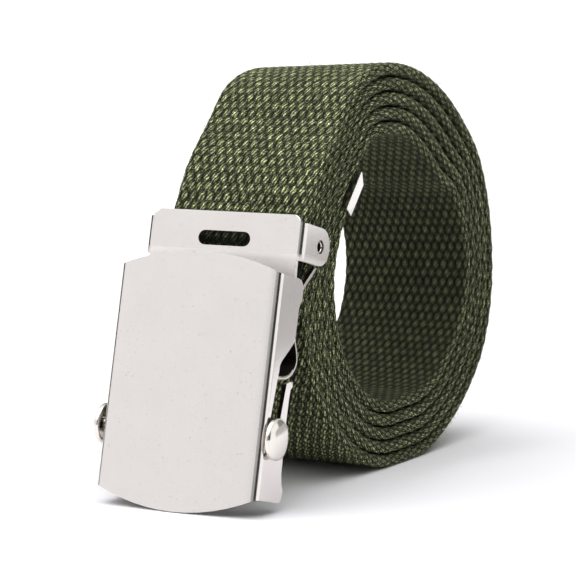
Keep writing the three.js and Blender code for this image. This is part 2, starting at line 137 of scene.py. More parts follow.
def smooth(t):
    """Rises from 0 to 1 with level ends: 3t squared less 2t cubed."""
    t = np.clip(t, 0, 1)
    return t * t * (3 - 2 * t)


def pitch_at(angle):
    """Distance from layer to layer: the mean pitch times its share at the angle."""
    return LAYER_PITCH * from_table(STEPS, angle)


def outside_at(angle):
    """Outer radius: the outline less one pitch for each turn made."""
    turns = (START_ANGLE - angle) / 360
    return ROLL_RADIUS * from_table(OUTLINE, angle) - pitch_at(angle) * turns


def thick_at(angle):
    """The web's thickness: the pitch less the gap, held between its limits."""
    return np.clip(pitch_at(angle) - LAYER_GAP, WEB_THICK_MIN, WEB_THICK_MAX)


LAST_ANGLE = TIP_ANGLE - 360 * ROLL_TURNS
LOWER_HALF = np.arange(0, -180, -PROBE_STEP)
CENTRE_HEIGHT = float(np.max(-outside_at(LOWER_HALF) * np.sin(np.radians(LOWER_HALF))))


def roll_point(angle, radius):
    """Depth and height of a point of the roll, before the roll is put in its place."""
    turned = np.radians(angle)
    return np.stack([radius * np.cos(turned), CENTRE_HEIGHT + radius * np.sin(turned)], axis=-1)


def under_layer(angle):
    """Middle radius of the tip, just inside the layer outside it."""
    outer = np.asarray(angle, float) + 360
    return outside_at(outer) - thick_at(outer) - TIP_ROOM - TIP_THICK / 2


def middle_at(angle):
    """Radius of the web's middle line, which moves inwards at the end to make room for the tip."""
    last = np.float64(LAST_ANGLE)
    drift = outside_at(last) - thick_at(last) / 2 - under_layer(last)
    inwards = smooth((LAST_ANGLE + TIP_LEAD - angle) / TIP_LEAD)
    return outside_at(angle) - thick_at(angle) / 2 - drift * inwards


def catmull_rom(points, steps):
    """Centripetal cubic through points: each span's tangents come from root-distance steps."""
    points = np.vstack([2 * points[0] - points[1], points, 2 * points[-1] - points[-2]])
    t = np.linspace(0, 1, steps, endpoint=False)[:, None]
    spans = []
    for a, b, c, d in zip(points, points[1:], points[2:], points[3:]):
        before, here, after = (
            math.sqrt(np.linalg.norm(q - p)) for p, q in ((a, b), (b, c), (c, d)))
        leave = ((b - a) / before - (c - a) / (before + here) + (c - b) / here) * here
        arrive = ((c - b) / here - (d - b) / (here + after) + (d - c) / after) * here
        spans.append(b + t * leave + t ** 2 * (3 * (c - b) - 2 * leave - arrive)
                     + t ** 3 * (2 * (b - c) + leave + arrive))
    return spans


def buckle_bottom():
    """Depth and height of the cover's lowest point, on its front face."""
    low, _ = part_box("buckle_shell")
    return np.array([low.y, low.z + SHEET * LEAN_SIN])


def from_buckle(place):
    """Depth and height of a point given by rise and depth in the buckle: a turn by the lean."""
    rise, depth = place
    bottom = buckle_bottom()
    return np.array([
        bottom[0] + rise * LEAN_SIN + depth * LEAN_COS,
        bottom[1] + rise * LEAN_COS - depth * LEAN_SIN])


def in_buckle(points):
    """Rise and depth in the buckle of points in the belt's own axes: from_buckle turned round."""
    bottom = buckle_bottom()
    y, z = points[:, 1] - bottom[0], points[:, 2] - bottom[1]
    return y * LEAN_SIN + z * LEAN_COS, y * LEAN_COS - z * LEAN_SIN


WebPath = namedtuple("WebPath", "points thick weight turned length shift")


def web_path():
    """The web's middle line from the clamp to the tip, in place.

    The join is a cubic through five points, the roll is polar with the middle radius at each
    angle, and the tongue is straight. Each point has its thickness, the weight of the taper,
    its angle and the length of the line up to it.
    """
    reach = np.arange(90, -90, -PROBE_STEP)
    deepest = float(np.max(outside_at(reach) * np.cos(np.radians(reach))))
    spread = ROLL_SPREAD * (deepest + SPREAD_FROM * ROLL_RADIUS)
    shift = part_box("web_strap")[1].y - deepest - spread
    place = np.array([shift, 0])

    def on_roll(angle):
        return roll_point(angle, middle_at(angle)) + place

    joined = np.array([
        from_buckle(WEB_END), from_buckle(WEB_MIDDLE), from_buckle(WEB_MOUTH),
        on_roll(JOIN_ANGLE), on_roll(JOIN_ANGLE - JOIN_NEXT)])
    join = np.vstack(catmull_rom(joined, JOIN_STEPS)[:-1])
    angles = np.arange(JOIN_ANGLE, LAST_ANGLE, -ROLL_STEP)
    inside = under_layer(LAST_ANGLE)
    start = roll_point(LAST_ANGLE, inside)
    end_angle = LAST_ANGLE - math.degrees(TIP_LENGTH / float(inside))
    along = roll_point(end_angle, under_layer(end_angle)) - start
    along /= np.linalg.norm(along)
    tongue = start + place + TONGUE_SHARES[:, None] * TONGUE_LENGTH * along
    points = np.vstack([join, on_roll(angles), tongue])
    thick = np.concatenate([
        np.full(len(join), float(thick_at(START_ANGLE))), thick_at(angles),
        np.full(len(tongue), TONGUE_THICK)])
    weight = np.concatenate([
        np.zeros(len(join)), smooth((JOIN_ANGLE - angles) / TAPER_ANGLE), np.ones(len(tongue))])
    turned = np.concatenate([
        np.linspace(CLAMP_ANGLE, JOIN_ANGLE, len(join), endpoint=False), angles,
        np.full(len(tongue), LAST_ANGLE)])
    steps = np.linalg.norm(np.diff(points, axis=0), axis=1)
    length = np.concatenate([[0], np.cumsum(steps)])
    return WebPath(points, thick, weight, turned, length, shift)


def at_rows(path, rows):
    """The path's points, outward normals, thicknesses and weights at lengths along it.

    The normal is the slope between a point ahead and a point behind, turned by a right angle.
    """
    def point(row):
        return np.stack([np.interp(row, path.length, path.points[:, k]) for k in (0, 1)], axis=-1)

    along = point(rows + SLOPE_REACH) - point(rows - SLOPE_REACH)
    along /= np.linalg.norm(along, axis=1)[:, None]
    normal = np.stack([-along[:, 1], along[:, 0]], axis=-1)
    thick, weight = (np.interp(rows, path.length, kept) for kept in (path.thick, path.weight))
    return point(rows), normal, thick, weight


# Meshes

def link_piece(name, mesh, material, body, slot, *nodes, second=None, where=None):
    """Puts a mesh in the scene as a piece that rides on a body and stands for CAD nodes.

    Where a second material is given, the faces marked by where take it.
    """
    piece = bpy.data.objects.new(name, mesh)
    bpy.context.scene.collection.objects.link(piece)
    mesh.materials.clear()
    mesh.materials.append(material)
    if second is not None:
        mesh.materials.append(second)
        mesh.polygons.foreach_set("material_index", where.astype(np.int32))
    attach(piece, body)
    if nodes:
        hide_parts(*nodes)
    return piece


def array_mesh(name, points, *faces):
    """A smooth mesh from rows of points and arrays of faces, each of one count of corners."""
    corners = np.concatenate([np.full(len(kind), kind.shape[1]) for kind in faces])
    loops = np.concatenate([kind.ravel() for kind in faces])
    mesh = bpy.data.meshes.new(name)
    mesh.vertices.add(len(points))
    mesh.vertices.foreach_set("co", points.astype(np.float32).ravel())
    mesh.loops.add(len(loops))
    mesh.loops.foreach_set("vertex_index", loops.astype(np.int32))
    mesh.polygons.add(len(corners))
    mesh.polygons.foreach_set("loop_start", (np.cumsum(corners) - corners).astype(np.int32))
    mesh.update(calc_edges=True)
    mesh.validate()
    mesh.polygons.foreach_set("use_smooth", np.ones(len(mesh.polygons), bool))
    return mesh


def grid_mesh(name, points, caps=True):
    """A mesh from rows by columns of points: each row a ring, neighbours joined by quads."""
    rows, columns = points.shape[:2]
    index = np.arange(rows * columns).reshape(rows, columns)
    index = np.concatenate([index, index[:, :1]], axis=1)
    quads = np.stack(
        [index[:-1, :-1], index[:-1, 1:], index[1:, 1:], index[1:, :-1]], axis=-1).reshape(-1, 4)
    ends = [index[:1, columns - 1::-1], index[-1:, :columns]] if caps else []
    return array_mesh(name, points.reshape(-1, 3), quads, *ends)


def set_values(mesh, name, values):
    """Writes a per-vertex number or vector under a name that materials read."""
    vector = values.ndim == 2
    attribute = mesh.attributes.new(name, "FLOAT_VECTOR" if vector else "FLOAT", "POINT")
    attribute.data.foreach_set("vector" if vector else "value", values.astype(np.float32).ravel())


def face_vectors(mesh, key):
    """The faces' centres or normals, as rows."""
    values = np.empty(len(mesh.polygons) * 3, np.float32)
    mesh.polygons.foreach_get(key, values)
    return values.reshape(-1, 3)


# The web

def tapered(x, y, z, weight, shift):
    """The roll's far end is lower and deeper: both grow evenly across from the near end."""
    far = weight * (0.5 - x / WEB_WIDTH)
    deep = y + ROLL_SPREAD * far * (y - shift + SPREAD_FROM * ROLL_RADIUS)
    return np.stack(np.broadcast_arrays(x, deep, z * (1 - ROLL_TAPER * far)), axis=-1)


def section(web, fine_out, fine_in):
    """The web's section, from the hidden face's middle: across, thickness side, girth, edge share.

    The two faces are straight and each edge is half an ellipse. A fine face has a few samples
    in each wale, and a hidden one has one sample in each two wales. Girth is counted in wales.
    """
    half, edge = WEB_WIDTH / 2 - WEB_EDGE_ROUND, WEB_EDGE_ROUND
    edge_wales = web.edge_wales
    face_wales = web.wales // 2 - edge_wales
    out_count = face_wales * web.samples if fine_out else face_wales // 2
    in_count = face_wales * web.samples if fine_in else face_wales // 2
    edge_count = edge_wales * web.samples
    out, inner, turn = (
        np.linspace(0, 1, count, endpoint=False) for count in (out_count, in_count, edge_count))
    swing = np.pi * (0.5 - turn)
    across = np.concatenate([
        -half + 2 * half * out, half + edge * np.cos(swing),
        half - 2 * half * inner, -half - edge * np.cos(swing)])
    side = np.concatenate([
        np.ones(out_count), np.sin(swing), -np.ones(in_count), -np.sin(swing)])
    girth = np.concatenate([
        face_wales * out, face_wales + edge_wales * turn,
        face_wales + edge_wales + face_wales * inner,
        2 * face_wales + edge_wales + edge_wales * turn])
    edge_share = np.concatenate([
        np.zeros(out_count), np.sin(np.pi * turn), np.zeros(in_count), np.sin(np.pi * turn)])
    roll_by = out_count + edge_count + in_count // 2 if fine_out else out_count // 2
    return [np.roll(part, -roll_by) for part in (across, side, girth, edge_share)]


def float_height(girth, rows, seed):
    """Relief of the weave from 0 to 1, and each float's own tone, a sine hash of its place.

    Floats are ovals laid like a honeycomb: every other row is shifted by half a wale. The height
    is the root of 1 less the squared shares across and along, the highest of the nine nearest.
    """
    half_width, half_length, chance = 0.54, 0.74, 0.08
    best = np.zeros(np.broadcast(girth, rows).shape)
    tone = np.full(best.shape, 0.5)
    for step_along in (-1, 0, 1):
        row = np.floor(rows) + step_along
        dv = (rows - row - 0.5) / half_length
        across = girth + 0.5 * np.mod(row, 2)
        for step_across in (-1, 0, 1):
            wale = np.floor(across) + step_across
            du = (across - wale - 0.5) / half_width
            noise = np.sin(wale * 12.9898 + row * 78.233 + seed) * 43758.5453
            noise = noise - np.floor(noise)
            height = np.sqrt(np.clip(1 - du ** 2 - dv ** 2, 0, 1)) * (1 - chance + chance * noise)
            better = height > best
            best = np.where(better, height, best)
            tone = np.where(better, noise, tone)
    return best, tone


def web_mesh(name, path, start, end, web, fine_out, fine_in):
    """A run of the web between two lengths along it: the section carried along the path.

    Each point lies at half the thickness from the middle line, less the weave's relief where
    the weave dips. The relief fades out on the thin tongue.
    """
    spacing = web.row_pitch / web.samples
    rows = np.linspace(start, end, max(8, int(round((end - start) / spacing))) + 1)
    here, normal, thick, weight = at_rows(path, rows)
    across, side, girth, edge = section(web, fine_out, fine_in)
    height, tone = float_height(girth, rows[:, None] / web.row_pitch, web.seed)
    relief = web.relief * np.clip((thick - TONGUE_THICK) / (WEB_THICK_MIN - TONGUE_THICK), 0, 1)
    sunk = relief[:, None] * (1 - height)
    n = side * (thick[:, None] / 2 - sunk)
    x = across - np.sign(across) * edge * sunk
    y, z = (here[:, k, None] + n * normal[:, k, None] for k in (0, 1))
    mesh = grid_mesh(name, tapered(x, y, z, weight[:, None], path.shift))
    set_values(mesh, "weave_height", height.ravel())
    set_values(mesh, "float_tone", tone.ravel())
    wale = (2 * (WEB_WIDTH - 2 * WEB_EDGE_ROUND) + EDGES_GIRTH) / web.wales
    back = np.where(side < 0, 1 - edge, 0)
    lie = np.stack(np.broadcast_arrays(girth * wale, rows[:, None], back), axis=-1)
    set_values(mesh, "web_lie", lie.reshape(-1, 3))
    return mesh


def fibre_mesh(name, path, web):
    """Loose cotton fibres: thin three-sided tubes of three rings along a bent line.

    Each starts on the web's surface and leaves it along the normal, an axis of the web and a
    chance direction, and its second half bends towards the web again.
    """
    edge_share, outer_share, outer_run, near_share = 0.45, 0.55, 0.24, 0.7
    edge_reach, edge_inset, clamp_end, lowest = 0.42, 0.2 * MM, 8 * MM, 0.04 * MM
    shortest, first_out, last_out, by_chance, bent = 0.4, 0.5, 0.1, 0.8, 0.35
    uneven, middle_thick, end_thick = 0.3, 0.9, 0.4
    rng = np.random.default_rng(web.seed)
    count = web.fibres
    on_side = rng.random(count) < edge_share
    outer = rng.random(count) < outer_share
    rows = np.where(outer, rng.random(count) * outer_run, rng.random(count))
    rows = np.clip(rows * (path.length[-1] - TIP_LENGTH), clamp_end, None)
    here, normal, thick, weight = at_rows(path, rows)
    half = WEB_WIDTH / 2
    x = np.where(
        on_side | ~outer, np.where(rng.random(count) < near_share, half, -half),
        (rng.random(count) * 2 - 1) * half)
    on_edge = np.abs(x) >= half * 0.999
    n = np.where(on_edge, (rng.random(count) * 2 - 1) * edge_reach, 0.5) * thick
    x = np.where(on_edge, np.sign(x) * (half - edge_inset), x)
    y, z = (here[:, k] + n * normal[:, k] for k in (0, 1))
    root = tapered(x, y, z, weight, path.shift)
    out = np.stack([np.zeros(count), normal[:, 0], normal[:, 1]], axis=-1)
    out[on_edge] = np.sign(x[on_edge])[:, None] * [1, 0, 0]
    chance = rng.normal(size=(count, 3))
    chance /= np.linalg.norm(chance, axis=1)[:, None]
    length = web.fibre_length * (shortest + (1 - shortest) * rng.random(count))[:, None]
    first = root + length * 0.5 * (first_out * out + by_chance * chance)
    bend = rng.normal(size=(count, 3)) * bent
    last = first + length * 0.5 * (last_out * out + by_chance * chance + bend)
    side = np.cross(chance, out + 0.01)
    side /= np.linalg.norm(side, axis=1)[:, None]
    other = np.cross(chance, side)
    turns = np.radians([0, 120, 240])[None, :, None]
    ring = side[:, None, :] * np.cos(turns) + other[:, None, :] * np.sin(turns)
    radius = web.fibre_radius * (1 - uneven + 2 * uneven * rng.random(count))[:, None, None]
    points = np.stack([
        root[:, None, :] + ring * radius, first[:, None, :] + ring * radius * middle_thick,
        last[:, None, :] + ring * radius * end_thick], axis=1).reshape(-1, 3)
    points[:, 2] = np.maximum(points[:, 2], lowest)
    corner = np.arange(3)
    after = (corner + 1) % 3
    wall = np.stack([corner, after, after + 3, corner + 3], axis=-1)
    ends = np.array([[2, 1, 0], [6, 7, 8]])
    base = (np.arange(count) * 9)[:, None, None]
    quads = (np.vstack([wall, wall + 3])[None] + base).reshape(-1, 4)
    caps = (ends[None] + base).reshape(-1, 3)
    return array_mesh(name, points, quads, caps)


# The buckle

def pressed_copy(node, name, edge_round):
    """A smooth copy of a pressed piece: flat faces merged, and every sheared edge rounded.

    The punched pin holes keep their sharp rims.
    """
    merge, flat, flat_again, rim = 2e-6, math.radians(0.6), math.radians(0.3), PIN_HOLE * 1.1
    hinge = from_buckle(PIN_PLACE)
    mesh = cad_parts[node].data.copy()
    mesh.name = name
    shape = bmesh.new()
    shape.from_mesh(mesh)
    bmesh.ops.remove_doubles(shape, verts=shape.verts, dist=merge)
    bmesh.ops.dissolve_limit(shape, angle_limit=flat, verts=shape.verts, edges=shape.edges)
    bmesh.ops.recalc_face_normals(shape, faces=shape.faces)
    sharp = [e for e in shape.edges
             if len(e.link_faces) == 2 and e.calc_face_angle(0) > CREASE
             and any(math.hypot(v.co.y - hinge[0], v.co.z - hinge[1]) > rim for v in e.verts)]
    bmesh.ops.bevel(shape, geom=sharp, offset=edge_round, offset_type="OFFSET", segments=2,
                    profile=0.5, affect="EDGES", clamp_overlap=True)
    bmesh.ops.dissolve_limit(shape, angle_limit=flat_again, verts=shape.verts, edges=shape.edges)
    bmesh.ops.triangulate(shape, faces=[f for f in shape.faces if len(f.verts) > 4])
    bmesh.ops.recalc_face_normals(shape, faces=shape.faces)
    shape.to_mesh(mesh)
    shape.free()
    left = [a.name for a in mesh.attributes if not a.is_required and a.name != "position"]
    for attribute in left:
        mesh.attributes.remove(mesh.attributes[attribute])
    mesh.polygons.foreach_set("use_smooth", np.ones(len(mesh.polygons), bool))
    mesh.set_sharp_from_angle(angle=CREASE)
    return mesh


def fair_shading(piece):
    """Normals weighted by face area, so that flat sheets look flat up to their rounded edges."""
    weighted = piece.modifiers.new("fair normals", "WEIGHTED_NORMAL")
    weighted.keep_sharp = True
    weighted.weight = 100


def eased_lip(mesh):
    """Opens the flap's lip, so that its face runs on down behind the cover, and marks it as matt.

    A point below the lip's start keeps its way along the bend and its distance from the middle
    of the sheet, while the bend's radius grows by one over the ease.
    """
    start, face = LIP_START
    shape = bmesh.new()
    shape.from_mesh(mesh)
    for height in (LIP_MATT_FULL, LIP_MATT_FROM):
        bmesh.ops.bisect_plane(
            shape, geom=[*shape.verts, *shape.edges, *shape.faces],
            plane_co=(0, *from_buckle((start + height, 0))), plane_no=(0, LEAN_SIN, LEAN_COS))
    shape.to_mesh(mesh)
    shape.free()
    points = np.empty(len(mesh.vertices) * 3, np.float32)
    mesh.vertices.foreach_get("co", points)
    points = points.reshape(-1, 3).astype(float)
    rise, depth = in_buckle(points)
    matt = (start + LIP_MATT_FROM - rise) / (LIP_MATT_FROM - LIP_MATT_FULL)
    set_values(mesh, "matt", np.clip(matt, 0, 1))
    below = (rise < start) & (np.abs(points[:, 0]) < WEB_WIDTH / 2 + LIP_SIDE)
    turn = np.arctan2(start - rise, face + LIP_RADIUS - depth)
    out = np.hypot(start - rise, face + LIP_RADIUS - depth) - LIP_RADIUS
    wide = LIP_RADIUS / LIP_EASE
    eased = from_buckle((
        start - (wide + out) * np.sin(turn * LIP_EASE),
        face + wide - (wide + out) * np.cos(turn * LIP_EASE)))
    points[below, 1:] = eased.T[below]
    mesh.vertices.foreach_set("co", points.astype(np.float32).ravel())
    mesh.update()


def shaded_front_faces(mesh):
    """Marks faces that look forwards, into the channel, which take the painted shade."""
    normal = face_vectors(mesh, "normal")
    return normal[:, 2] * LEAN_SIN - normal[:, 1] * LEAN_COS > FORWARD_FROM


def shaded_inside_faces(mesh):
    """Marks faces that look towards the channel's middle line, which take the painted shade."""
    centre, normal = face_vectors(mesh, "center"), face_vectors(mesh, "normal")
    across = -centre[:, 0]
    deep = CHAMBER_MIDDLE - in_buckle(centre)[1]
    facing = across * normal[:, 0] + deep * (normal[:, 1] * LEAN_COS - normal[:, 2] * LEAN_SIN)
    return facing > INWARD_FROM * np.hypot(across, deep)


def turned_mesh(name, profile, place, sides, crease):
    """A turned piece on an axis across the belt: the profile of radius and place, carried round.

    Its doubles are merged, and its faces are turned outwards.
    """
    turn = np.linspace(0, 2 * np.pi, sides, endpoint=False)
    radius, x = profile[:, 0, None], profile[:, 1, None]
    points = np.stack(np.broadcast_arrays(
        x, place[0] + radius * np.cos(turn), place[1] + radius * np.sin(turn)), axis=-1)
    mesh = grid_mesh(name, points, caps=False)
    shape = bmesh.new()
    shape.from_mesh(mesh)
    bmesh.ops.remove_doubles(shape, verts=shape.verts, dist=1e-6)
    bmesh.ops.recalc_face_normals(shape, faces=shape.faces)
    shape.to_mesh(mesh)
    shape.free()
    mesh.set_sharp_from_angle(angle=math.radians(crease))
    return mesh


def arc(centre, radius, start, end, count):
    """Points of an arc of radius and place: centre plus radius times cosine and sine."""
    turn = np.radians(np.linspace(start, end, count))
    return np.stack([centre[0] + radius * np.cos(turn), centre[1] + radius * np.sin(turn)], axis=-1)


def bar_profile(sizes, reach):
    """Radius and place along the bar with its heads: corner, rim and a quarter ellipse's dome."""
    corner, step, drop = 0.3 * MM, 0.25 * MM, 0.05 * MM
    back = reach - HEAD_DEPTH
    rim = back + sizes.head_rim
    dome = arc((0, 0), 1, 0, 90, 14) * [sizes.head_radius - step, reach - rim] + [0, rim]
    right = np.vstack([
        [[sizes.bar_radius, back]],
        arc((sizes.head_radius - corner, back + corner), corner, -90, 0, 5),
        arc((sizes.head_radius - step, rim - drop), step, 0, 60, 4),
        dome[1:],
    ])
    right[-1, 0] = 0
    return np.vstack([right[::-1] * [1, -1], right])


def pin_profile(sizes, inner, outer):
    """Radius and place round a hollow pin's wall: its end slants inwards to the bore."""
    sink = 0.12 * MM * np.sign(outer - inner)
    return np.array([
        [sizes.pin_bore, inner], [sizes.pin_bore, outer - sink],
        [sizes.pin_radius - 0.04 * MM, outer], [sizes.pin_radius, outer - 0.1 * sink],
        [sizes.pin_radius, inner], [sizes.pin_bore, inner]])


# Materials

def linear(colour):
    """An sRGB hex colour as a linear colour with alpha."""
    parts = [int(colour[k:k + 2], 16) / 255 for k in (1, 3, 5)]
    return (*[c / 12.92 if c <= 0.04045 else ((c + 0.055) / 1.055) ** 2.4 for c in parts], 1.0)


def darker(colour, share):
    """A share of a linear colour."""
    return (*[share * c for c in colour[:3]], 1)


def add_node(tree, kind, inputs=None, stops=None, **settings):
    """Adds a shader node with its settings and ramp stops, and its inputs' values or links.

    A node given as an input stands for its first output.
    """
    made = tree.nodes.new("ShaderNode" + kind)
    for key, value in settings.items():
        setattr(made, key, value)
    if stops:
        ramp = made.color_ramp
        for k, (place, colour) in enumerate(stops):
            stop = ramp.elements[k] if k < 2 else ramp.elements.new(place)
            stop.position, stop.color = place, colour
    for key, value in (inputs or {}).items():
        if isinstance(value, bpy.types.Node):
            value = value.outputs[0]
        if isinstance(value, bpy.types.NodeSocket):
            tree.links.new(value, made.inputs[key])
        else:
            made.inputs[key].default_value = value
    return made


def new_material(name):
    """An empty material and its node tree."""
    material = bpy.data.materials.new(name)
    material.use_nodes = True
    material.node_tree.nodes.clear()
    return material, material.node_tree


# Sizes of the finishes' patterns. The wave texture turns 20 radians in one unit of its scale.
PLY_SPACING = 0.68 * MM
PLY_SLANT = math.radians(27)
WAVE_TURN = 20
FLECK_SIZE = 0.35 * MM
FADE_SIZE = 14 * MM
# Painted shade in the clamp: where it ends along the web, and where it has faded out.
CLAMP_SHADE_FROM, CLAMP_SHADE_TO = 9.5 * MM, 13.5 * MM
# Painted shade behind the buckle: where it starts and where it is full, forwards and downwards.
SHADE_FRONT, SHADE_FRONT_FULL = -29 * MM, -41 * MM
SHADE_HEIGHT, SHADE_HEIGHT_FULL = 42 * MM, 22 * MM
FIBRE_TONE_SIZE = 2 * MM
GRAIN_SIZE = 0.3 * MM
SMUDGE_SIZE = 9 * MM
SPECK_SIZE = 0.55 * MM
PATCH_SIZE = 25 * MM


def webbing_material(colours):
    """Piece-dyed cotton canvas webbing, woven: matt floats with yarn twist, painted shade in the
    pits between and painted highlights on the floats and plies.
    """
    material, tree = new_material("cotton canvas webbing")
    height = add_node(tree, "Attribute", attribute_name="weave_height").outputs["Fac"]
    tone = add_node(tree, "Attribute", attribute_name="float_tone").outputs["Fac"]
    lie = add_node(tree, "Attribute", attribute_name="web_lie").outputs["Vector"]
    place = add_node(tree, "TexCoord").outputs["Object"]
    phase = add_node(tree, "Math", {0: tone, 1: 19.0}, operation="MULTIPLY")
    parts = add_node(tree, "SeparateXYZ", {0: lie})
    # Plies lie slanted across each float. Their crests are painted as highlights and the grooves
    # between them as shade.
    slanted = add_node(tree, "Mapping", {"Vector": lie, "Rotation": (0, 0, PLY_SLANT)})
    twist = add_node(tree, "TexWave", {
        "Vector": slanted, "Scale": 2 * math.pi / (WAVE_TURN * PLY_SPACING),
        "Distortion": 4.0, "Phase Offset": phase,
        "Detail": 2.0, "Detail Scale": 1.6}, bands_direction="X")
    fibre = add_node(tree, "TexNoise", {
        "Vector": place, "Scale": 1 / FLECK_SIZE, "Detail": 4.0, "Roughness": 0.65})
    patch = add_node(tree, "TexNoise", {"Vector": place, "Scale": 1 / FADE_SIZE, "Detail": 3.0})
    # Colour by weave height: painted shade in the pits and low on the floats, a painted highlight
    # on their tops.
    body = add_node(tree, "ValToRGB", {"Fac": height}, stops=[
        (0.20, colours.pit_shade), (0.56, colours.low), (0.78, colours.mid), (0.98, colours.top)])
    fleck = add_node(tree, "ValToRGB", {"Fac": fibre.outputs["Fac"]}, stops=[
        (0.40, (0.22, 0.22, 0.20, 1)), (0.51, (1, 1, 1, 1)), (0.64, (3.1, 3.05, 3.4, 1))])
    ply_highlight = add_node(tree, "ValToRGB", {"Fac": twist.outputs["Fac"]}, stops=[
        (0.20, (0.10, 0.10, 0.10, 1)), (0.85, (2.25, 2.2, 2.4, 1))])
    # The cloth's back is plainer. It is also darker: painted shade, since the back faces lie inside
    # the roll.
    show = add_node(tree, "MapRange", {"Value": parts.outputs["Z"], "To Min": 0.88, "To Max": 0.3})
    dyed = body.outputs["Color"]
    for pattern in (fleck, ply_highlight):
        dyed = add_node(tree, "Mix", {
            "Factor": show, "A": dyed, "B": pattern.outputs["Color"]},
            data_type="RGBA", blend_type="MULTIPLY").outputs["Result"]
    own = add_node(tree, "MapRange", {"Value": tone, "To Min": 0.92, "To Max": 1.08})
    faded = add_node(tree, "MapRange", {
        "Value": patch.outputs["Fac"], "From Min": 0.3, "From Max": 0.7,
        "To Min": 0.88, "To Max": 1.12})
    # Painted shade on the back faces, inside the roll.
    back = add_node(tree, "MapRange", {"Value": parts.outputs["Z"], "To Min": 1.0, "To Max": 0.40})
    # Painted shade: the web's first length lies in the clamp and is darkened as if out of the
    # light.
    held = add_node(tree, "MapRange", {
        "Value": parts.outputs["Y"], "From Min": CLAMP_SHADE_FROM, "From Max": CLAMP_SHADE_TO,
        "To Min": 0.1})
    # Painted shade: the low front of the roll, behind the buckle, is darkened where the buckle
    # shades it.
    object_parts = add_node(tree, "SeparateXYZ", {0: place})
    forward = add_node(tree, "MapRange", {
        "Value": object_parts.outputs["Y"], "From Min": SHADE_FRONT, "From Max": SHADE_FRONT_FULL,
        "To Max": 0.55})
    lower = add_node(tree, "MapRange", {
        "Value": object_parts.outputs["Z"], "From Min": SHADE_HEIGHT, "From Max": SHADE_HEIGHT_FULL})
    # Painted shade behind the buckle, and the share of colour it leaves.
    buckle_shade = add_node(tree, "Math", {0: forward, 1: lower}, operation="MULTIPLY")
    unshaded = add_node(tree, "Math", {0: 1.0, 1: buckle_shade}, operation="SUBTRACT")
    shade = own
    for factor in (faded, unshaded, back, held):
        shade = add_node(tree, "Math", {0: shade, 1: factor}, operation="MULTIPLY")
    shaded = add_node(tree, "VectorMath", {0: dyed, "Scale": shade}, operation="SCALE")
    rise = add_node(tree, "Math", {
        0: twist.outputs["Fac"], 1: fibre.outputs["Fac"]}, operation="ADD")
    bump = add_node(tree, "Bump", {"Height": rise, "Strength": 0.9, "Distance": 0.09 * MM})
    cloth = add_node(tree, "BsdfPrincipled", {
        "Base Color": shaded, "Roughness": 0.92, "IOR": 1.47,
        "Specular IOR Level": 0.25, "Sheen Weight": 0.2, "Sheen Roughness": 0.5,
        "Sheen Tint": colours.top, "Normal": bump})
    add_node(tree, "OutputMaterial", {"Surface": cloth})
    return material


def fibre_material(colours):
    """Loose cotton fibres: thin and pale, matt."""
    material, tree = new_material("loose cotton fibre")
    place = add_node(tree, "TexCoord").outputs["Object"]
    patch = add_node(tree, "TexNoise", {
        "Vector": place, "Scale": 1 / FIBRE_TONE_SIZE, "Detail": 1.0})
    colour = add_node(tree, "ValToRGB", {"Fac": patch.outputs["Fac"]}, stops=[
        (0.3, colours.mid), (0.7, colours.fibre)])
    cloth = add_node(tree, "BsdfPrincipled", {
        "Base Color": colour.outputs["Color"], "Roughness": 0.9, "IOR": 1.47,
        "Sheen Weight": 0.2})
    add_node(tree, "OutputMaterial", {"Surface": cloth})
    return material


def nickel_material(name, colour, speck, roughness, grain=0.35):
    """Nickel-plated pressed steel: satin metal with fine rolling grain, soft smudges and specks."""
    material, tree = new_material(name)
    place = add_node(tree, "TexCoord").outputs["Object"]
    along = add_node(tree, "Mapping", {"Vector": place, "Scale": (1, 0.12, 0.12)})
    # The real rolling grain is about 0.12 mm wide. It is drawn at 0.3 mm so that it shows.
    lines = add_node(tree, "TexNoise", {
        "Vector": along, "Scale": 1 / GRAIN_SIZE, "Detail": 3.0, "Roughness": 0.6})
    smudge = add_node(tree, "TexNoise", {
        "Vector": place, "Scale": 1 / SMUDGE_SIZE, "Detail": 4.0, "Roughness": 0.62})
    pits = add_node(tree, "TexNoise", {
        "Vector": place, "Scale": 1 / SPECK_SIZE, "Detail": 2.0, "Roughness": 0.7})
    spots = add_node(tree, "MapRange", {
        "Value": pits.outputs["Fac"], "From Min": 0.64, "From Max": 0.74,
        "To Max": 0.28})
    base = add_node(tree, "ValToRGB", {"Fac": smudge.outputs["Fac"]}, stops=[
        (0.25, darker(colour, 0.955)), (0.75, colour)])
    spotted = add_node(tree, "Mix", {
        "Factor": spots, "A": base.outputs["Color"], "B": speck}, data_type="RGBA")
    even = add_node(tree, "MapRange", {
        "Value": smudge.outputs["Fac"], "From Min": 0.3, "From Max": 0.7,
        "To Min": roughness * 0.94, "To Max": roughness * 1.08})
    matt = add_node(tree, "Attribute", attribute_name="matt").outputs["Fac"]
    rough = add_node(tree, "Math", {0: matt, 1: 0.45, 2: even}, operation="MULTIPLY_ADD")
    height = add_node(tree, "Math", {
        0: lines.outputs["Fac"], 1: pits.outputs["Fac"]}, operation="ADD")
    bump = add_node(tree, "Bump", {"Height": height, "Strength": grain, "Distance": 0.012 * MM})
    metal = add_node(tree, "BsdfPrincipled", {
        "Base Color": spotted.outputs["Result"], "Metallic": 1.0, "Roughness": rough,
        "Normal": bump})
    add_node(tree, "OutputMaterial", {"Surface": metal})
    return material


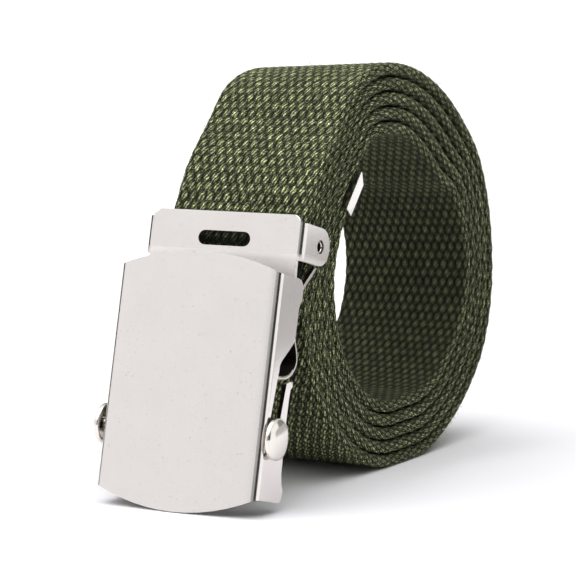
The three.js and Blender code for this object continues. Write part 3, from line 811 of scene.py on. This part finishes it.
def floor_material(colour):
    """Matt painted board, pale, with soft patches."""
    material, tree = new_material("pale matt board")
    place = add_node(tree, "TexCoord").outputs["Object"]
    noise = add_node(tree, "TexNoise", {"Vector": place, "Scale": 1 / PATCH_SIZE, "Detail": 3.0})
    shade = add_node(tree, "ValToRGB", {"Fac": noise.outputs["Fac"]}, stops=[
        (0.3, darker(colour, 0.985)), (0.7, colour)])
    board = add_node(tree, "BsdfPrincipled", {
        "Base Color": shade.outputs["Color"], "Roughness": 0.85, "Specular IOR Level": 0.2})
    add_node(tree, "OutputMaterial", {"Surface": board})
    return material


# The studio. Panels: bearing from the front in degrees, and share of the panels' radiance.
PANELS = (
    (-180, 0.22), (-150, 0.05), (-76, 0.05), (-64, 0.84), (-27, 0.84), (-20, 0.40),
    (24, 0.30), (30, 0.02), (66, 0.02), (72, 0.22), (180, 0.22),
)
CEILING_FROM, CEILING_FULL = 0.50, 0.68
BACKGROUND = 1.1
KEY_AZIMUTH, KEY_ELEVATION = math.radians(-20), math.radians(66)
FLOOR_HALF = 12.0
# Cards: bearing in degrees, distance, half width and top.
GREY_CARD = (151.5, 0.16, 0.14, 0.0375)
WHITE_CARD = (100, 0.45, 0.30, 0.40)
CARD_FOOT = 1 * MM
SENSOR_WIDTH = 36
CLIP_START, CLIP_END = 0.01, 20


def studio_world(stage):
    """A white studio: the panels' radiance goes by the bearing, and turns into the ceiling's above.

    Dark gaps stand beside the camera and at the left. The background itself is plain white.
    """
    world = bpy.data.worlds.new("white studio")
    world.use_nodes = True
    tree = world.node_tree
    tree.nodes.clear()
    place = add_node(tree, "TexCoord").outputs["Generated"]
    way = add_node(tree, "SeparateXYZ", {0: place})
    front = add_node(tree, "Math", {0: way.outputs["Y"], 1: -1.0}, operation="MULTIPLY")
    bearing = add_node(tree, "Math", {0: way.outputs["X"], 1: front}, operation="ARCTAN2")
    share = add_node(tree, "MapRange", {
        "Value": bearing, "From Min": -math.pi, "From Max": math.pi})
    panels = add_node(tree, "ValToRGB", {"Fac": share}, stops=[
        (0.5 + angle / 360, (level, level, level, 1)) for angle, level in PANELS])
    ring = add_node(tree, "Math", {
        0: panels.outputs["Color"], 1: stage.panel}, operation="MULTIPLY")
    height = add_node(tree, "MapRange", {
        "Value": way.outputs["Z"], "From Min": CEILING_FROM, "From Max": CEILING_FULL})
    light = add_node(tree, "Mix", {
        "Factor": height, "A": ring, "B": stage.ceiling}, data_type="FLOAT")
    seen = add_node(tree, "LightPath").outputs["Is Camera Ray"]
    shown = add_node(tree, "Mix", {
        "Factor": seen, "A": light.outputs["Result"], "B": BACKGROUND}, data_type="FLOAT")
    room = add_node(tree, "Background", {
        "Color": linear("#ffffff"), "Strength": shown.outputs["Result"]})
    add_node(tree, "OutputWorld", {"Surface": room})
    return world


def facing(azimuth, elevation):
    """The way out at a bearing and a height, and the turn of what looks back along it."""
    sin_a, cos_a = math.sin(azimuth), math.cos(azimuth)
    sin_e, cos_e = math.sin(elevation), math.cos(elevation)
    back = np.array([sin_a * cos_e, -cos_a * cos_e, sin_e])
    right = np.array([cos_a, sin_a, 0])
    up = np.cross(back, right)
    return back, Matrix([[right[k], up[k], back[k], 0] for k in range(3)] + [[0, 0, 0, 1]])


def stage_board(name, corners, material):
    """A four-cornered board that belongs to the stage."""
    mesh = bpy.data.meshes.new(name)
    mesh.from_pydata(corners, [], [(0, 1, 2, 3)])
    mesh.materials.append(material)
    held = bpy.data.objects.new(name, mesh)
    bpy.context.scene.collection.objects.link(held)
    return held


def reflection_card(name, bearing, away, half, top, colour, radiance):
    """An upright glowing card, seen only in the metal, that stands square to its bearing."""
    azimuth = math.radians(bearing)
    middle = np.array([math.sin(azimuth), -math.cos(azimuth), 0]) * away
    side = np.array([math.cos(azimuth), math.sin(azimuth), 0]) * half
    low, high = np.array([0, 0, CARD_FOOT]), np.array([0, 0, top])
    material, tree = new_material(name)
    glow = add_node(tree, "Emission", {"Color": colour, "Strength": radiance})
    add_node(tree, "OutputMaterial", {"Surface": glow})
    corners = (middle - side + low, middle + side + low, middle + side + high, middle - side + high)
    card = stage_board(name, [tuple(corner) for corner in corners], material)
    card.visible_camera = card.visible_diffuse = card.visible_shadow = False


# What a user would change

def in_mm(name, default, description):
    """A property for a length, given in millimetres."""
    return FloatProperty(name=name, description=description, default=default * MM, unit="LENGTH")


def in_degrees(name, default, description):
    """A property for an angle, given in degrees."""
    return FloatProperty(
        name=name, description=description, default=math.radians(default), subtype="ANGLE")


def strength(name, default, description):
    """A property for a light's strength."""
    return FloatProperty(name=name, description=description, default=default, min=0)


def in_hex(name, default, description):
    """A property for a colour, given in sRGB hex."""
    return FloatVectorProperty(
        name=name, description=description, default=linear(default), size=4, min=0, max=1,
        subtype="COLOR")


class BeltWeb(bpy.types.PropertyGroup):
    """Sizes of the weave"""
    wales: IntProperty(name="Wales", description="Wales all round the web", default=36, min=8)
    edge_wales: IntProperty(
        name="Edge wales", description="Wales round one edge", default=3, min=1)
    samples: IntProperty(
        name="Samples", description="Mesh points in one float, each way", default=5, min=3)
    row_pitch: in_mm("Row pitch", 2.15, "Length of one float")
    relief: in_mm("Relief", 0.42, "Depth of the weave")
    fibres: IntProperty(name="Fibres", description="Number of loose fibres", default=5200, min=1)
    fibre_length: in_mm("Fibre length", 1.5, "Longest loose fibre")
    fibre_radius: in_mm("Fibre radius", 0.022, "Drawn coarser than real cotton")
    seed: IntProperty(name="Seed", description="Seed of the chance values", default=7)


class BeltBuckle(bpy.types.PropertyGroup):
    """Sizes of the buckle's finish and turned parts"""
    edge_round: in_mm("Edge round", 0.2, "Rounding of sheared edges")
    bar_radius: in_mm("Bar radius", 1.7, "Radius of the bar")
    head_radius: in_mm("Head radius", 4.2, "Radius of a head")
    head_rim: in_mm("Head rim", 0.75, "Thickness of a head's rim")
    pin_radius: in_mm("Pin radius", 1.1, "Radius of a pin")
    pin_bore: in_mm("Pin bore", 0.93, "Radius of a pin's bore")


class BeltColours(bpy.types.PropertyGroup):
    """Colours of the cloth, the metal and the stage"""
    # The cloth's colours by weave height: pit and low carry painted shade, top a painted highlight.
    pit_shade: in_hex("Pit", "#070805", "Between the floats")
    low: in_hex("Low", "#1b1f12", "A float's foot")
    mid: in_hex("Middle", "#4c5135", "A float's side")
    top: in_hex("Top", "#7d845a", "A float's top")
    fibre: in_hex("Fibre", "#8e9570", "The palest loose fibre")
    satin: in_hex("Satin", "#e6e1de", "Cover and flap")
    pressed: in_hex("Pressed", "#cfc9c2", "Inner plate")
    # Near-black, for the painted shade inside the buckle.
    inside_shade: in_hex("Inside shade", "#231e1b", "Inside of the buckle")
    bright: in_hex("Bright", "#e8e3dd", "Bar and pins")
    # Dark, for the painted shade inside a pin's bore.
    bore_shade: in_hex("Bore", "#2c2724", "Inside of a pin")
    tip: in_hex("Tip", "#f0ece7", "Web tip")
    speck: in_hex("Speck", "#8a817a", "Small pits in the plating")
    board: in_hex("Board", "#faf9fc", "Floor")
    glow: in_hex("Glow", "#fbfaf9", "Reflection cards")


class BeltStage(bpy.types.PropertyGroup):
    """Camera and light"""
    azimuth: in_degrees("Azimuth", 28.5, "From the front towards the near end")
    elevation: in_degrees("Elevation", 6.726, "Above the floor")
    distance: in_mm("Distance", 600.4, "Camera to the picture's middle")
    lens: FloatProperty(name="Lens", description="Focal length in millimetres", default=175.0)
    aim: FloatVectorProperty(
        name="Aim", description="The picture's middle, back from the cover's foremost point",
        default=(-6.083 * MM, 59.013 * MM, 38.04 * MM), subtype="TRANSLATION")
    panel: strength("Panel", 1.2, "Radiance of the white panels round the belt")
    ceiling: strength("Ceiling", 1.02, "Radiance of the ceiling")
    key: strength("Key", 1.9, "Strength of the key light")
    key_spread: in_degrees("Key spread", 80, "Width of the key light")
    card: strength("Card", 0.58, "Radiance of the grey card at the right")


class BELT_OT_web(bpy.types.Operator):
    """Weave the rolled strap with its loose fibres"""
    bl_idname = "belt.web"
    bl_label = "Web strap"

    def execute(self, context):
        web, colours = context.scene.belt_web, context.scene.belt_colours
        path = web_path()
        outer_end, inner_start = (
            float(np.interp(-at, -path.turned, path.length))
            for at in (START_ANGLE - OUTER_RUN, LAST_ANGLE + INNER_RUN))
        cloth = webbing_material(colours)
        for name, start, end, fine_out, fine_in, nodes in (
            ("web_outer_turn", 0.0, outer_end, True, False, ["web_strap"]),
            ("web_middle_turns", outer_end, inner_start, False, False, []),
            ("web_inner_turn", inner_start, float(path.length[-1]), False, True, []),
        ):
            mesh = web_mesh(name, path, start, end, web, fine_out, fine_in)
            link_piece(name, mesh, cloth, "belt", "web", *nodes)
        fibres = fibre_mesh("loose_fibres", path, web)
        link_piece("loose_fibres", fibres, fibre_material(colours), "belt", "web")
        return {"FINISHED"}


class BELT_OT_buckle(bpy.types.Operator):
    """Finish the pressed pieces of the buckle"""
    bl_idname = "belt.buckle"
    bl_label = "Buckle sheets"

    def execute(self, context):
        edge_round, colours = context.scene.belt_buckle.edge_round, context.scene.belt_colours
        speck = colours.speck
        satin = nickel_material("satin nickel-plated steel", colours.satin, speck, 0.17)
        inner = nickel_material("nickel-plated steel, as pressed", colours.pressed, speck, 0.25)
        # Painted shade: faces inside the buckle take a near-black colour for the shade in there.
        inside_shade = nickel_material("nickel-plated steel, painted shade inside", colours.inside_shade, speck, 0.65)
        cover = pressed_copy("buckle_shell", "cover_with_walls", edge_round)
        plate = pressed_copy("back_plate", "inner_plate", edge_round)
        flap = pressed_copy("clamp_flap", "hinged_flap", edge_round)
        eased_lip(flap)
        for piece in (
            link_piece("cover_with_walls", cover, satin, "belt", "shell", "buckle_shell",
                       second=inside_shade, where=shaded_inside_faces(cover)),
            link_piece("inner_plate", plate, inner, "belt", "plate", "back_plate",
                       second=inside_shade, where=shaded_front_faces(plate)),
            link_piece("hinged_flap", flap, satin, "belt", "flap", "clamp_flap"),
        ):
            fair_shading(piece)
        return {"FINISHED"}


class BELT_OT_turned(bpy.types.Operator):
    """Turn the locking bar and the hinge pins"""
    bl_idname = "belt.turned"
    bl_label = "Bar and pins"

    def execute(self, context):
        sizes, colours = context.scene.belt_buckle, context.scene.belt_colours
        bright = nickel_material(
            "bright nickel-plated steel", colours.bright, colours.speck, 0.16, grain=0.15)
        # Painted shade: the pins' bores take a dark colour for the shade inside them.
        bore_shade_finish = nickel_material(
            "nickel-plated steel, painted shade in the bore", colours.bore_shade, colours.speck, 0.6)
        profile = bar_profile(sizes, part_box("locking_bar")[1].x)
        bar = turned_mesh("sliding_bar", profile, from_buckle(BAR_PLACE), sides=64, crease=40)
        link_piece("sliding_bar", bar, bright, "locking_bar", "bar", "locking_bar")
        hinge = from_buckle(PIN_PLACE)
        for node, inner, outer in (("hinge_pin_near", 0, 1), ("hinge_pin_far", 1, 0)):
            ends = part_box(node)
            profile = pin_profile(sizes, ends[inner].x, ends[outer].x)
            name = f"{node}_tube"
            pin = turned_mesh(name, profile, hinge, sides=40, crease=50)
            centre = face_vectors(pin, "center")
            away = np.hypot(centre[:, 1] - hinge[0], centre[:, 2] - hinge[1])
            link_piece(name, pin, bright, "belt", "pins", node,
                       second=bore_shade_finish, where=away < sizes.pin_bore * 1.04)
        return {"FINISHED"}


class BELT_OT_tip(bpy.types.Operator):
    """Finish the folded metal tip"""
    bl_idname = "belt.tip"
    bl_label = "Web tip"

    def execute(self, context):
        edge_round, colours = context.scene.belt_buckle.edge_round, context.scene.belt_colours
        bright = nickel_material(
            "bright nickel-plated tip", colours.tip, colours.speck, 0.18, grain=0.2)
        tip = pressed_copy("tip_cap", "folded_tip", edge_round * 0.7)
        fair_shading(link_piece("folded_tip", tip, bright, "belt", "tip", "tip_cap"))
        return {"FINISHED"}


class BELT_OT_stage(bpy.types.Operator):
    """Set the pale floor, the soft light and the camera"""
    bl_idname = "belt.stage"
    bl_label = "Stage"

    def execute(self, context):
        scene = context.scene
        stage, colours = scene.belt_stage, scene.belt_colours
        back, turned = facing(stage.azimuth, stage.elevation)
        lens = bpy.data.cameras.new("camera")
        lens.lens, lens.sensor_width = stage.lens, SENSOR_WIDTH
        lens.clip_start, lens.clip_end = CLIP_START, CLIP_END
        camera = bpy.data.objects.new("camera", lens)
        aim = np.array(stage.aim) + [0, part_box("buckle_shell")[0].y, 0]
        camera.matrix_world = Matrix.Translation(aim + back * stage.distance) @ turned
        scene.collection.objects.link(camera)
        scene.camera = camera

        # The key: a wide soft light from the front left and above.
        lamp = bpy.data.lights.new("key light", "SUN")
        lamp.energy, lamp.angle = stage.key, stage.key_spread
        key = bpy.data.objects.new("key light", lamp)
        back, turned = facing(KEY_AZIMUTH, KEY_ELEVATION)
        key.matrix_world = Matrix.Translation(back) @ turned
        scene.collection.objects.link(key)

        scene.world = studio_world(stage)
        scene.view_settings.view_transform = "Standard"
        half = FLOOR_HALF
        corners = [(-half, -half, 0), (half, -half, 0), (half, half, 0), (-half, half, 0)]
        stage_board("floor", corners, floor_material(colours.board))
        reflection_card("grey_card", *GREY_CARD, colours.glow, stage.card)
        reflection_card("white_card", *WHITE_CARD, colours.glow, stage.panel)
        return {"FINISHED"}


class BELT_PT_panel(bpy.types.Panel):
    """Lists the belt's operators, sizes and colours"""
    bl_idname = "BELT_PT_panel"
    bl_label = "Web belt"
    bl_space_type = "VIEW_3D"
    bl_region_type = "UI"
    bl_category = "Web belt"

    def draw(self, context):
        for name, group in GROUPS.items():
            for key in group.__annotations__:
                self.layout.prop(getattr(context.scene, name), key)
        for operator in OPERATORS:
            self.layout.operator(operator.bl_idname)


OPERATORS = (BELT_OT_stage, BELT_OT_web, BELT_OT_buckle, BELT_OT_turned, BELT_OT_tip)
GROUPS = {
    "belt_web": BeltWeb, "belt_buckle": BeltBuckle, "belt_colours": BeltColours,
    "belt_stage": BeltStage,
}


def register():
    for cls in (*GROUPS.values(), *OPERATORS, BELT_PT_panel):
        bpy.utils.register_class(cls)
    for name, group in GROUPS.items():
        setattr(bpy.types.Scene, name, PointerProperty(type=group))


def unregister():
    for name in GROUPS:
        delattr(bpy.types.Scene, name)
    for cls in (BELT_PT_panel, *reversed(OPERATORS), *reversed(GROUPS.values())):
        bpy.utils.unregister_class(cls)


def main():
    register()
    bpy.ops.belt.stage()
    bpy.ops.belt.web()
    bpy.ops.belt.buckle()
    bpy.ops.belt.turned()
    bpy.ops.belt.tip()


if __name__ == "__main__":
    main()
